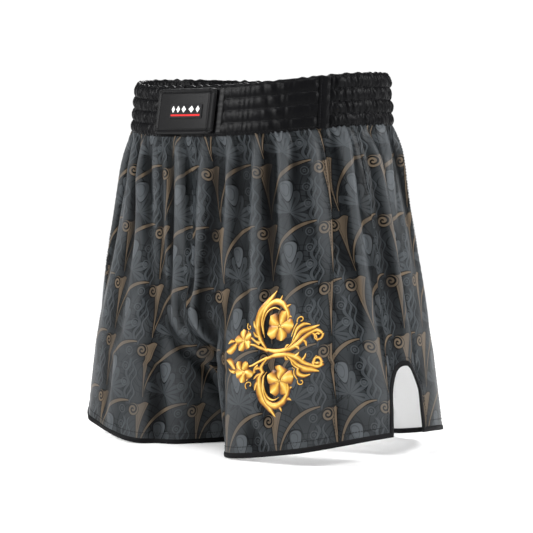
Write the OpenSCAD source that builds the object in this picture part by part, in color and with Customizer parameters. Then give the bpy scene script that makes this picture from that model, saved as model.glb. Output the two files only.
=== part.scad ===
// Boxing shorts: printed satin body, quilted and shirred waistband, folding closure tab.
// +Z is up, the wearer faces -Y and the wearer's left is +X.
// The origin is on the floor, midway between the two legs.

/* [Waist] */
// Half width of the waist, side to side
waist_a = 168; // [150:1:180]
// Half depth of the waist, front to back
waist_b = 111; // [100:1:118]
// Height of the waist seam at the sides
waist_z = 364; // [330:1:400]
// How far the waist seam drops from back to front
waist_dip = 8; // [0:1:20]
// How far the waist seam drops at front and back against the sides
waist_saddle = 8; // [0:1:16]
// Height of the waistband at the front
band_h = 54.5; // [45:0.5:65]
// Extra height of the waistband at the back
band_back_rise = 3; // [0:0.5:8]
// How far the waistband's front and back lean inwards
band_lean = 9; // [0:1:14]

/* [Legs] */
// Half width of the whole garment at the hems
hem_a = 231.4; // [215:0.2:245]
// Half depth of the legs at the hems
hem_b = 122.4; // [119:0.2:135]
// Gap between each leg's inner edge and the centre plane at the hem
hem_gap = 6; // [3:0.5:12]
// Height of the crotch above the hems
crotch_z = 95; // [85:1:110]
// How far the hem rises at the outer side
hem_rise = 29; // [0:1:40]

/* [Side slits] */
// Width of a side slit at the hem
slit_w = 49; // [36:1:60]
// Height of a side slit above the hem
slit_h = 75; // [60:1:90]
// Position of the slit's centre line, front to back
slit_y = -5; // [-10:1:10]
// Width of the binding tape that edges the slits and the hems
binding_w = 5; // [4:0.5:7]

/* [Closure tab] */
// Angle round the waist of the tab's free edge
tab_from = -15.5; // [-20:0.5:-12]
// Angle round the waist of the tab's sewn edge
tab_to = 9.5; // [6:0.5:14]
// Thickness of the tab
tab_t = 2.5; // [2:0.1:3]

/* [Hidden] */

// Squareness of the plan outlines: 2 would be an ellipse
squareness = 2.4;
// Shape of the flare from waist to hem: below 1 it opens quickly under the waistband
flare = 0.5;
flare_start = 0.005;
// Share of the body's height over which the crotch curve and the leg shapes blend away
crotch_curve_share = 0.2;
leg_blend_share = 0.55;
// Part of each hem, from the inner edge outwards, that lies flat on the floor
flat_hem_share = 0.4;
// Row of the body grid that carries the crotch point
crotch_v = crotch_z / seam_z(0);
// Rows and columns of the body grid
rows_above_crotch = 14;
rows_below_crotch = 5;
panel_columns = 16;
gusset_columns = 4;
side_columns_each = 5;
// Seams between front, side and back panels, as shares of the way round a leg
side_front_seam = 0.385;
side_back_seam = 1 - side_front_seam;
// Gusset: half width round the leg at the crotch, and at its lower tip
gusset_u = 0.085;
gusset_tip = 0.004;
// Half height of the step row where the gusset's top edge meets the panels
seam_step = 0.002;

// Layers, as offsets outwards from the body's outer face
panel_layer = [-2, 0];
binding_layer = [-2.6, 0.6];
seam_tape_layer = [-3.4, -2.4];
casing_layer = [-0.6, 1.2];
elastic_layer = [-2.1, -0.9];
facing_layer = [-3.8, -2.4];
trim_layer = [1.4, 2.2];
fold_layer = [1.4, 2.6];
hook_layer = [2.5, 3.4];
tab_layer = [3.6, 3.6 + tab_t];
badge_layer = [3.6 + tab_t, 4.2 + tab_t];

// Angles round the waist, from the front centre towards the wearer's left
band_split = -4.2;
split_gap = 0.3;
strip_from = 60;
strip_to = 66;
back_centre = 180;
elastic_end_margin = 3;
loop_from = -14;
loop_to = -5;
hook_from = -13.5;
hook_to = -5.5;
badge_from = -7.5;
badge_to = 4.5;
fold_to = 12;
band_step = 3.5;
// Heights in the band, as shares of its height
whole_band = [0, 1];
facing_band = [0.015, 1];
tab_band = [0.03, 0.98];
patch_band = [0.12, 0.88];
badge_band = [0.36, 0.66];
elastic_rows = 4;
elastic_inset = 0.12;
seam_tape_from = 0.96;

charcoal = [0.27, 0.28, 0.30];
black_satin = [0.08, 0.08, 0.09];
black_tape = [0.05, 0.05, 0.055];
white_elastic = [0.85, 0.85, 0.83];
black_nylon = [0.12, 0.12, 0.13];
white_label = [0.92, 0.92, 0.92];

// Superellipse ordinate from a cosine or a sine
function round_out(c) = sign(c) * pow(abs(c), 2 / squareness);
function mix(p, q, k) = p * (1 - k) + q * k;
function smooth(k) = let(c = min(1, max(0, k))) c * c * (3 - 2 * c);
function quarter_arc(k) = let(c = min(1, max(0, k))) sqrt(1 - (1 - c) * (1 - c));

// Height of the waist seam at an angle round the waist
function seam_z(phi) = waist_z - waist_dip / 2 * cos(phi) - waist_saddle / 2 * cos(2 * phi);
// Height of the waistband at an angle round the waist
function band_height(phi) = band_h + band_back_rise * (1 - cos(phi)) / 2;

// Angle round a leg, from the outer side, at a share of the way round from its inner edge
function leg_angle(u) = -180 + 360 * u;
// Outward position of a point of the hem, -1 at the inner edge and 1 at the outer side
function hem_out(u) = round_out(cos(leg_angle(u)));
function hem_lift(u) = hem_rise * pow(max(0, (hem_out(u) + 1 - flat_hem_share) / (2 - flat_hem_share)), 1.8);
// Angle round the waist straight above a place round the leg
function waist_angle(u) =
    let(k = (1 + hem_out(u)) / 2, phi = asin(pow(k, squareness / 2)))
    u < 0.5 ? phi : 180 - phi;
// Height at a share v of the way up from the hem to the waist seam
function height(u, v) = mix(hem_lift(u), seam_z(waist_angle(u)), v);
// Share v that gives a height above the hem
function row_at(u, above_hem) = above_hem / (seam_z(waist_angle(u)) - hem_lift(u));

function flare_pow(t) = pow(t + flare_start, flare);
function flare_share(v) = (flare_pow(1 - v) - flare_pow(0)) / (flare_pow(1) - flare_pow(0));
function half_width(v) = mix(waist_a, hem_a, flare_share(v));
function half_depth(v) = mix(waist_b, hem_b, flare_share(v));
function inner_x(v) = mix(hem_gap, 0.2, min(1, v / crotch_v));

// Larger of two lengths, rounded by up to r where they are close
bridge_rounding = 10;
function soft_max(p, q, r) =
    let(near = r > 0 ? max(r - abs(p - q), 0) / r : 0)
    max(p, q) + near * near * r / 4;

function leg_centre(v) = [(half_width(v) + inner_x(v)) / 2, 0];
// Leg outline; above the crotch a flat bridge joins the two legs at the front and the back
function leg_plan(u, v) =
    let(
        a = (half_width(v) - inner_x(v)) / 2,
        psi = leg_angle(u),
        facing = u < 0.5 ? -1 : 1,
        inner = max(0, -hem_out(u)),
        bridge = inner > 0 ? half_depth(v) * quarter_arc((v - crotch_v) / crotch_curve_share) : 0,
        y = soft_max(half_depth(v) * abs(round_out(sin(psi))), bridge, min(bridge, bridge_rounding * inner))
    )
    leg_centre(v) + [a * round_out(cos(psi)), facing * y];
function torso_plan(u, v) =
    let(k = (1 + hem_out(u)) / 2, facing = u < 0.5 ? -1 : 1)
    [
        mix(inner_x(v), half_width(v), k),
        facing * half_depth(v) * pow(max(0, 1 - pow(k, squareness)), 1 / squareness)
    ];

// A point of the left half of the body, moved outwards by off
function body_point(u, v, off) =
    let(
        share = smooth((v - crotch_v) / leg_blend_share),
        p = mix(leg_plan(u, v), torso_plan(u, v), share),
        c = leg_centre(v) * (1 - share),
        d = (p - c) / norm(p - c),
        q = p + off * d
    )
    [q[0], q[1], height(u, v)];

// Share of the way round the leg at a front-to-back position on the outer side
function u_at_y(y, v) = 0.5 + asin(sign(y) * pow(abs(y) / half_depth(v), squareness / 2)) / 360;

// A point of the waistband: angle, share of its height, offset outwards
function band_point(phi, h, off) = [
    (waist_a - h + off) * round_out(sin(phi)),
    -(waist_b - band_lean * h + off) * round_out(cos(phi)),
    seam_z(phi) + h * band_height(phi)
];

// Closed sheet from an outer and an inner grid of points with the same rows and columns
module sheet(outer, inner) {
    rows = len(outer);
    cols = len(outer[0]);
    count = rows * cols;
    points = [for (grid = [outer, inner]) for (row = grid) for (p = row) p];
    function at(i, j, side) = side * count + i * cols + j;
    function quad(a, b, c, d) = [[a, b, c], [a, c, d]];
    faces = [
        for (i = [0 : rows - 2]) for (j = [0 : cols - 2])
            each quad(at(i, j, 0), at(i + 1, j, 0), at(i + 1, j + 1, 0), at(i, j + 1, 0)),
        for (i = [0 : rows - 2]) for (j = [0 : cols - 2])
            each quad(at(i, j, 1), at(i, j + 1, 1), at(i + 1, j + 1, 1), at(i + 1, j, 1)),
        for (j = [0 : cols - 2]) each quad(at(0, j, 0), at(0, j + 1, 0), at(0, j + 1, 1), at(0, j, 1)),
        for (j = [0 : cols - 2])
            each quad(at(rows - 1, j + 1, 0), at(rows - 1, j, 0), at(rows - 1, j, 1), at(rows - 1, j + 1, 1)),
        for (i = [0 : rows - 2]) each quad(at(i + 1, 0, 0), at(i, 0, 0), at(i, 0, 1), at(i + 1, 0, 1)),
        for (i = [0 : rows - 2])
            each quad(at(i, cols - 1, 0), at(i + 1, cols - 1, 0), at(i + 1, cols - 1, 1), at(i, cols - 1, 1))
    ];
    polyhedron(points, faces, convexity = 6);
}

// Sheet over a grid of [u, v] places on the body
module body_sheet(grid, layer) {
    sheet(
        [for (row = grid) [for (p = row) body_point(p[0], p[1], layer[1])]],
        [for (row = grid) [for (p = row) body_point(p[0], p[1], layer[0])]]
    );
}

module on_side(side) {
    if (side == "left") children();
    else mirror([1, 0, 0]) children();
}

// Rows of the body grid from the top of the hem binding to the waist seam
lower_rows = [for (i = [0 : rows_below_crotch]) i / rows_below_crotch * (crotch_v - seam_step)];
// Rows crowd together at the crotch's curve and under the waistband
upper_rows = [
    for (i = [0 : rows_above_crotch]) mix(crotch_v + seam_step, 1, (1 - cos(180 * i / rows_above_crotch)) / 2)
];
body_rows = concat(lower_rows, upper_rows);

// Lowest row of the panels, just above the hem binding
function panel_row(u, v) = max(v, row_at(u, binding_w));
// Half width of the gusset round the leg: its tip lies on the second row of the grid
gusset_edge = 0.002;
gusset_v = lower_rows[1];
function gusset_reach(v) =
    v > crotch_v ? 0
    : v < gusset_v ? gusset_tip * v / gusset_v
    : mix(gusset_tip, gusset_u - gusset_edge, (v - gusset_v) / (crotch_v - gusset_v));

// Places round the leg for a front panel's columns: those beside the gusset, then the rest
function front_columns(v) = concat(
    [for (j = [0 : gusset_columns - 1]) mix(gusset_reach(v), gusset_u, j / gusset_columns)],
    [for (j = [0 : panel_columns]) mix(gusset_u, side_front_seam, j / panel_columns)]
);

module front_panel() {
    body_sheet([for (v = body_rows) [for (u = front_columns(v)) [u, panel_row(u, v)]]], panel_layer);
}

module back_panel() {
    body_sheet([
        for (v = body_rows)
            let(columns = front_columns(v), last = len(columns) - 1)
            [for (j = [0 : last]) let(u = 1 - columns[last - j]) [u, panel_row(u, v)]]
    ], panel_layer);
}

// A slit's outline, widened by grow: front-to-back position and height above the hem at a share
// k of its half width
slit_roundness = 2.6;
slit_columns = 20;
function slit_side(k, grow) = slit_y + (slit_w / 2 + grow) * k;
function slit_top(k, grow) = (slit_h + grow) * pow(max(0, 1 - k * k), 1 / slit_roundness);
slit_row = row_at(0.5, slit_h / 2);
function slit_u(k, grow) = u_at_y(slit_side(k, grow), slit_row);
// Columns of the side panel: seam, slit's front edge, slit, slit's back edge, seam
edge_step = 0.02;
slit_shares = [for (i = [0 : slit_columns]) -cos(180 * i / slit_columns)];
function spread(from_u, to_u) = [for (i = [0 : side_columns_each]) mix(from_u, to_u, i / side_columns_each)];
front_of_slit = spread(side_front_seam, slit_u(-1 - edge_step, binding_w));
back_of_slit = spread(slit_u(1 + edge_step, binding_w), side_back_seam);
side_columns = concat(
    [for (u = front_of_slit) [u, 0]],
    [for (k = slit_shares) [slit_u(k, binding_w), slit_top(k, binding_w)]],
    [for (u = back_of_slit) [u, 0]]
);

module side_panel() {
    body_sheet([
        for (v = body_rows) [
            for (c = side_columns)
                let(bottom = row_at(c[0], max(binding_w, c[1])))
                [c[0], mix(bottom, 1, v)]
        ]
    ], panel_layer);
}

module crotch_gusset() {
    columns = 5;
    body_sheet([
        for (i = [1 : rows_below_crotch])
            let(v = lower_rows[i], reach = gusset_reach(v))
            [for (j = [-columns : columns]) let(k = reach * j / columns) [k < 0 ? 1 + k : k, v]]
    ], panel_layer);
}

// Places round the leg for the front hem binding, from the inner edge to the slit
hem_columns = concat(
    front_columns(0),
    [for (i = [1 : side_columns_each]) front_of_slit[i]],
    [slit_u(-1, binding_w)]
);
back_hem_columns = concat(
    [slit_u(1, binding_w)],
    back_of_slit,
    [for (i = [1 : len(front_columns(0)) - 1]) 1 - front_columns(0)[len(front_columns(0)) - 1 - i]]
);

module hem_binding(columns) {
    body_sheet([for (above = [0, binding_w]) [for (u = columns) [u, row_at(u, above)]]], binding_layer);
}

// The tape's two edges, from the front hem up, over the slit and down to the back hem
module slit_binding() {
    path = concat(
        [[-1, 0], [-1, binding_w]],
        [for (i = [1 : slit_columns - 1]) [slit_shares[i], -1]],
        [[1, binding_w], [1, 0]]
    );
    body_sheet([
        for (grow = [0, binding_w]) [
            for (p = path)
                let(u = slit_u(p[0], grow))
                [u, row_at(u, p[1] < 0 ? slit_top(p[0], grow) : p[1])]
        ]
    ], binding_layer);
}

// Sheet over part of the waistband
module band_sheet(from_phi, to_phi, shares, layer, steps = 0) {
    n = steps > 0 ? steps : ceil((to_phi - from_phi) / band_step);
    angles = [for (j = [0 : n]) mix(from_phi, to_phi, j / n)];
    grid_rows = [shares[0], (shares[0] + shares[1]) / 2, shares[1]];
    sheet(
        [for (h = grid_rows) [for (phi = angles) band_point(phi, h, layer[1])]],
        [for (h = grid_rows) [for (phi = angles) band_point(phi, h, layer[0])]]
    );
}

module elastic_row(i) {
    color(white_elastic)
        band_sheet(
            strip_to + elastic_end_margin,
            360 + tab_from - elastic_end_margin,
            [(i + elastic_inset) / elastic_rows, (i + 1 - elastic_inset) / elastic_rows],
            elastic_layer
        );
}

module body_panels(side) {
    color(charcoal) on_side(side) children();
}

module tapes(side) {
    color(black_tape) on_side(side) children();
}

module waistband_front_panel() {
    color(black_satin) band_sheet(band_split + split_gap, strip_from, whole_band, casing_layer);
}

module waistband_left_shirring() {
    color(black_satin) band_sheet(strip_from, back_centre, whole_band, casing_layer);
}

module waistband_right_shirring() {
    color(black_satin) band_sheet(back_centre, 360 + band_split - split_gap, whole_band, casing_layer);
}

module waistband_joining_strip() {
    color(black_satin) band_sheet(strip_from, strip_to, whole_band, trim_layer);
}

module waistband_inner_facing() {
    color(black_satin)
        band_sheet(band_split + split_gap, 360 + band_split - split_gap, facing_band, facing_layer);
}

// Two tapes, each over half of the waist seam, on the panels' own columns
module waist_seam_tape() {
    half = front_columns(1);
    last = len(half) - 1;
    side = [for (i = [1 : len(side_columns) - 2]) side_columns[i][0]];
    columns = concat(half, side, [for (j = [0 : last]) 1 - half[last - j]]);
    color(black_tape)
        for (side_name = ["left", "right"])
            on_side(side_name)
                body_sheet([
                    for (v = body_rows) if (v > seam_tape_from) [for (u = columns) [u, v]]
                ], seam_tape_layer);
}

module closure_tab() {
    color(black_satin) band_sheet(tab_from, tab_to, tab_band, tab_layer, 16);
}

module tab_hook_patch() {
    color(black_nylon) band_sheet(hook_from, hook_to, patch_band, hook_layer, 6);
}

module tab_loop_patch() {
    color(black_nylon) band_sheet(loop_from, loop_to, patch_band, trim_layer, 6);
}

module tab_badge() {
    color(white_label) band_sheet(badge_from, badge_to, badge_band, badge_layer, 8);
}

module tab_hinge_fold() {
    color(black_satin) band_sheet(tab_to, fold_to, tab_band, fold_layer, 3);
}

body_panels("left") front_panel();  // left_front_panel
body_panels("left") side_panel();  // left_side_panel
body_panels("left") back_panel();  // left_back_panel
body_panels("right") front_panel();  // right_front_panel
body_panels("right") side_panel();  // right_side_panel
body_panels("right") back_panel();  // right_back_panel
body_panels("left") crotch_gusset();  // left_crotch_gusset
body_panels("right") crotch_gusset();  // right_crotch_gusset
tapes("left") hem_binding(hem_columns);  // left_front_hem_binding
tapes("left") hem_binding(back_hem_columns);  // left_back_hem_binding
tapes("left") slit_binding();  // left_slit_binding
tapes("right") hem_binding(hem_columns);  // right_front_hem_binding
tapes("right") hem_binding(back_hem_columns);  // right_back_hem_binding
tapes("right") slit_binding();  // right_slit_binding
waistband_front_panel();
waistband_left_shirring();
waistband_right_shirring();
waistband_joining_strip();
waistband_inner_facing();
waist_seam_tape();
elastic_row(0);  // elastic_row_1
elastic_row(1);  // elastic_row_2
elastic_row(2);  // elastic_row_3
elastic_row(3);  // elastic_row_4
closure_tab();
tab_hook_patch();
tab_loop_patch();
tab_badge();
tab_hinge_fold();
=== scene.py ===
"""Boxing shorts: printed satin legs gathered into a quilted and shirred waistband with a closure tab.

Everything is in metres in the CAD part's own frame: +Z up, the wearer faces -Y, the wearer's left is +X.
"""

import math
from collections import namedtuple

import bmesh
import bpy
import numpy as np
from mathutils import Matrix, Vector, kdtree


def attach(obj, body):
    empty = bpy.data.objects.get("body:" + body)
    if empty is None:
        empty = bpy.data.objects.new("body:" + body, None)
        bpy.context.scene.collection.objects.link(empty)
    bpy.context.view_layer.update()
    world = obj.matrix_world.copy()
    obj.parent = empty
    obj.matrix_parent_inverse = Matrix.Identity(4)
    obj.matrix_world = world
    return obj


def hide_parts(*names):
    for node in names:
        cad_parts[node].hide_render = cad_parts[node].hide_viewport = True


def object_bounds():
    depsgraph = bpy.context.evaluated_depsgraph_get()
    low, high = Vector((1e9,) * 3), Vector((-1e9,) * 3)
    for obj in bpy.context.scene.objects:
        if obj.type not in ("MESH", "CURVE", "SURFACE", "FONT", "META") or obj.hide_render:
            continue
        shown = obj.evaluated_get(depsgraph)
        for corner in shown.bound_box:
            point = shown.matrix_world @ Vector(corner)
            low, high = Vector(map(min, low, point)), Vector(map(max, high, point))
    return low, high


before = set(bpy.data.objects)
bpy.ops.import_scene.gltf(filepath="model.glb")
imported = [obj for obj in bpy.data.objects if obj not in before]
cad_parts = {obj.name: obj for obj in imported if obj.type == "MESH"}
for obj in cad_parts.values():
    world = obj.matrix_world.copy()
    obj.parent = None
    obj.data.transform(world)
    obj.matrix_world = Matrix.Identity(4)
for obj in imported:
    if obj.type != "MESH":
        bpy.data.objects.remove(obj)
cad_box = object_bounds()


# ---------------------------------------------------------------- the garment's driving dimensions

SQUARENESS = 2.4
WAIST_A, WAIST_B = 0.168, 0.111
WAIST_Z, WAIST_DIP, WAIST_SADDLE = 0.364, 0.008, 0.008
BAND_H, BAND_BACK_RISE, BAND_LEAN = 0.0545, 0.003, 0.009
HEM_A, HEM_B, HEM_GAP, HEM_RISE = 0.2314, 0.1224, 0.006, 0.029
FLAT_HEM_SHARE = 0.4
CROTCH_Z = 0.095
CROTCH_CURVE_SHARE, LEG_BLEND_SHARE = 0.2, 0.55
FLARE, FLARE_START = 0.5, 0.005
BRIDGE_ROUNDING = 0.010
SIDE_FRONT_SEAM = 0.385
SLIT_W, SLIT_H, SLIT_Y, SLIT_ROUNDNESS = 0.049, 0.075, -0.005, 2.6
BINDING_W = 0.005

CAMERA_AZIMUTH, CAMERA_ELEVATION, CAMERA_DISTANCE = 44.0, 3.64, 2.2
CAMERA_LENS = 126.3
TARGET_HEIGHT, TARGET_SIDE = 0.2031, 0.0085
FLOOR_SIZE, FLOOR_GAP, PALE = 2.6, 0.0005, (0.97, 0.97, 0.97)
# name, azimuth, elevation, distance, size, power
LIGHTS = [
    ("key_light", -28, 30, 1.9, 0.45, 34),
    ("side_light", 108, 28, 1.9, 0.45, 34),
    ("back_light", 215, 40, 2.2, 1.2, 26),
    ("top_light", 50, 76, 1.7, 0.7, 20),
]
INSIDE_LIGHT_POWER, INSIDE_LIGHT_SIZE, INSIDE_LIGHT_X, INSIDE_LIGHT_Z = 0.13, 0.03, 0.115, 0.2
BACKDROP = {"From Min": 0.09, "From Max": 0.26, "To Min": 1.02, "To Max": 0.16}


# ---------------------------------------------------------------- objects and materials

def add_object(name, data):
    obj = bpy.data.objects.new(name, data)
    bpy.context.scene.collection.objects.link(obj)
    return obj


def new_object(name, points, faces, materials=()):
    mesh = bpy.data.meshes.new(name)
    mesh.from_pydata(np.asarray(points).tolist(), [], [list(map(int, f)) for f in faces])
    mesh.update()
    mesh.polygons.foreach_set("use_smooth", [True] * len(mesh.polygons))
    for material in materials:
        mesh.materials.append(material)
    return add_object(name, mesh)


def new_material(name, colour, roughness, *, specular, metallic=0.0, sheen=0.0):
    material = bpy.data.materials.new(name)
    material.use_nodes = True
    inputs = material.node_tree.nodes["Principled BSDF"].inputs
    inputs["Base Color"].default_value = (*colour, 1)
    inputs["Roughness"].default_value = roughness
    inputs["Metallic"].default_value = metallic
    inputs["Sheen Weight"].default_value = sheen
    inputs["Specular IOR Level"].default_value = specular
    return material


# ---------------------------------------------------------------- camera, lights and floor

def direction(azimuth, elevation):
    a, e = math.radians(azimuth), math.radians(elevation)
    return Vector((math.sin(a) * math.cos(e), -math.cos(a) * math.cos(e), math.sin(e)))


def make_camera():
    data = bpy.data.cameras.new("camera")
    data.lens = CAMERA_LENS
    camera = add_object("camera", data)
    a = math.radians(CAMERA_AZIMUTH)
    target = Vector((math.cos(a), math.sin(a), 0)) * TARGET_SIDE + Vector((0, 0, TARGET_HEIGHT))
    back = direction(CAMERA_AZIMUTH, CAMERA_ELEVATION)
    camera.location = target + back * CAMERA_DISTANCE
    camera.rotation_euler = (-back).to_track_quat("-Z", "Y").to_euler()
    bpy.context.scene.camera = camera


def area_light(name, azimuth, elevation, distance, size, power):
    data = bpy.data.lights.new(name, "AREA")
    data.shape, data.size, data.energy = "DISK", size, power
    light = add_object(name, data)
    back = direction(azimuth, elevation)
    light.location = back * distance + Vector((0, 0, TARGET_HEIGHT))
    light.rotation_euler = (-back).to_track_quat("-Z", "Y").to_euler()


def make_studio():
    for light in LIGHTS:
        area_light(*light)
    for side in (-1, 1):
        data = bpy.data.lights.new("inside_light", "POINT")
        data.energy, data.shadow_soft_size = INSIDE_LIGHT_POWER, INSIDE_LIGHT_SIZE
        light = add_object("inside_light", data)
        light.location = (side * INSIDE_LIGHT_X, 0, INSIDE_LIGHT_Z)
        light.visible_camera = False
    world = bpy.data.worlds.new("studio")
    world.use_nodes = True
    tree = world.node_tree
    coords = tree.nodes.new("ShaderNodeTexCoord")
    split = tree.nodes.new("ShaderNodeSeparateXYZ")
    ramp = tree.nodes.new("ShaderNodeMapRange")
    ramp.interpolation_type = "SMOOTHSTEP"
    # white up to just above the horizon, which is the backdrop, and dimmer overhead
    for socket, value in BACKDROP.items():
        ramp.inputs[socket].default_value = value
    tree.links.new(coords.outputs["Generated"], split.inputs[0])
    tree.links.new(split.outputs[2], ramp.inputs["Value"])
    tree.links.new(ramp.outputs[0], tree.nodes["Background"].inputs[0])
    bpy.context.scene.world = world
    bpy.context.scene.view_settings.view_transform = "Standard"


def make_floor():
    half, z = FLOOR_SIZE / 2, cad_box[0][2] - FLOOR_GAP
    corners = [(-half, -half, z), (half, -half, z), (half, half, z), (-half, half, z)]
    material = new_material("floor", PALE, 0.8, specular=0.5)
    new_object("floor", corners, [(0, 1, 2, 3)], (material,))


make_camera()
make_studio()
make_floor()


# ---------------------------------------------------------------- the body's outline, as in the CAD

def mix(a, b, k):
    return a * (1 - k) + b * k


def smooth(k):
    c = np.clip(k, 0, 1)
    return c * c * (3 - 2 * c)


def round_out(c):
    return np.sign(c) * np.abs(c) ** (2 / SQUARENESS)


def seam_z(phi):
    return WAIST_Z - WAIST_DIP / 2 * np.cos(phi) - WAIST_SADDLE / 2 * np.cos(2 * phi)


def hem_out(u):
    return round_out(np.cos(2 * np.pi * (u - 0.5)))


def hem_lift(u):
    reach = (hem_out(u) + 1 - FLAT_HEM_SHARE) / (2 - FLAT_HEM_SHARE)
    return HEM_RISE * np.maximum(0, reach) ** 1.8


def waist_angle(u):
    phi = np.arcsin(np.clip((1 + hem_out(u)) / 2, 0, 1) ** (SQUARENESS / 2))
    return np.where(u < 0.5, phi, np.pi - phi)


CROTCH_V = CROTCH_Z / float(seam_z(np.array(0.0)))


def flare_share(v):
    low, high = FLARE_START**FLARE, (1 + FLARE_START) ** FLARE
    return ((1 - v + FLARE_START) ** FLARE - low) / (high - low)


def body_points(u, v):
    """Points of the smooth left half of the body. u and v are arrays of one shape."""
    width = mix(WAIST_A, HEM_A, flare_share(v))
    depth = mix(WAIST_B, HEM_B, flare_share(v))
    inner_x = mix(HEM_GAP, 0.0, np.minimum(1, v / CROTCH_V))
    psi = 2 * np.pi * (u - 0.5)
    out = hem_out(u)
    facing = np.where(u < 0.5, -1.0, 1.0)
    half = (width - inner_x) / 2
    rise = np.clip((v - CROTCH_V) / CROTCH_CURVE_SHARE, 0, 1)
    inner = np.maximum(0, -out)
    bridge = np.where(inner > 0, depth * np.sqrt(1 - (1 - rise) ** 2), 0)
    leg_y = depth * np.abs(round_out(np.sin(psi)))
    reach = np.minimum(bridge, BRIDGE_ROUNDING * inner)
    near = np.maximum(reach - np.abs(leg_y - bridge), 0) / np.maximum(reach, 1e-9)
    leg_y = np.maximum(leg_y, bridge) + near**2 * reach / 4
    leg_x = (width + inner_x) / 2 + half * out
    k = (1 + out) / 2
    torso_x = mix(inner_x, width, k)
    torso_y = depth * np.maximum(0, 1 - k**SQUARENESS) ** (1 / SQUARENESS)
    share = smooth((v - CROTCH_V) / LEG_BLEND_SHARE)
    z = mix(hem_lift(u), seam_z(waist_angle(u)), v)
    return np.stack([mix(leg_x, torso_x, share), facing * mix(leg_y, torso_y, share), z], axis=-1)


# ---------------------------------------------------------------- folds of the body cloth

MIRROR = {"left": np.array([1.0, 1.0, 1.0]), "right": np.array([-1.0, 1.0, 1.0])}
ROWS, COLUMNS = 76, 150
SIM_FRAMES = 20
FOLD_LIMIT = 0.012
WELD = 0.0004
SINK, SWELL = 0.6, 1.45
# folds spread apart as the leg widens, up to this half girth
SPREAD_LIMIT = 0.27
NO_REPEAT = 9.0
SETTLE_GAP_HEM, SETTLE_GAP_WAIST = 0.003, 0.010


# a fold running down the cloth: where it starts round the waist and below it, its size and lean
Fold = namedtuple("Fold", "place start width height length lean")


def fold_row(random, length, widths, heights, reaches, lean, spacings):
    """Folds side by side along the waist. Pairs are the lowest and highest of each random draw."""
    folds = []
    place = -length / 2
    while place < length / 2:
        width = random.uniform(*widths)
        reach = random.uniform(*reaches)
        folds.append(Fold(place, 0, width, random.uniform(*heights), reach, random.uniform(-lean, lean)))
        place += width * random.uniform(*spacings)
    return folds


def waist_folds(length):
    """Broad folds that reach down the legs, and short gathers between them."""
    random = np.random.RandomState(7)
    broad = fold_row(random, length, (0.008, 0.015), (0.010, 0.018), (0.28, 0.66), 0.07, (2.3, 3.6))
    short = fold_row(random, length, (0.003, 0.005), (0.0018, 0.0038), (0.03, 0.11), 0.05, (1.9, 2.8))
    return broad + short


# place beside the centre line, start below the waist, and lean
CROTCH_FOLDS = ((0.012, 0.19, 0.42), (0.030, 0.17, 0.30), (0.052, 0.16, 0.20))


def crotch_folds():
    """Slack folds that run down and outwards from the crotch, front and back."""
    folds = []
    for side in (1, -1):
        for centre in (False, True):
            for place, start, lean in CROTCH_FOLDS:
                folds.append((side, centre, Fold(place, start, 0.012, 0.0100, 0.30, lean)))
    return folds


# how much folds widen as they run down, over what length, and where and how slowly they rise
WIDENING, WIDENING_RUN, RISE_EARLY, RISE_RUN = 1.2, 0.3, 0.012, 0.07


def fold_height(fold, place, down, around):
    below = down - fold.start
    widening = 1 + WIDENING * np.clip(below / WIDENING_RUN, 0, 1)
    away = place - fold.place - fold.lean * np.maximum(0, below)
    away = (away + around / 2) % around - around / 2
    rise = smooth((below + RISE_EARLY) / RISE_RUN)
    fade = 1 - smooth(below / fold.length)
    return fold.height * rise * fade * np.exp(-((away / (fold.width * widening)) ** 2))


def run_length(grid, axis):
    step = np.linalg.norm(np.diff(grid, axis=axis), axis=-1)
    zero = np.zeros_like(np.take(step, [0], axis=axis))
    return np.concatenate([zero, np.cumsum(step, axis=axis)], axis=axis)


def grid_normals(grid):
    n = np.cross(np.gradient(grid, axis=0), np.gradient(grid, axis=1))
    return n / np.maximum(np.linalg.norm(n, axis=-1, keepdims=True), 1e-12)


SHEET_T = np.linspace(0, 1, ROWS + 1)
GRID_V = 1 - (0.8 * SHEET_T + 0.2 * SHEET_T**2)


def even_columns():
    """Places round the leg that are evenly spaced along every row."""
    fine = np.linspace(0, 1, 3001)
    out = []
    for v in GRID_V:
        run = run_length(body_points(fine, np.full_like(fine, v)), 0) + fine * 1e-9
        out.append(np.interp(np.linspace(0, run[-1], COLUMNS + 1), run, fine))
    return np.array(out)


GRID_U = even_columns()
GRID_V2 = np.repeat(GRID_V[:, None], COLUMNS + 1, axis=1)
# column numbers for evenly spaced places round the leg, row by row
LOOKUP = 2000
LOOKUP_U = np.linspace(0, 1, LOOKUP + 1)
COLUMN_OF = np.array([np.interp(LOOKUP_U, row, np.arange(COLUMNS + 1.0)) for row in GRID_U])


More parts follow.
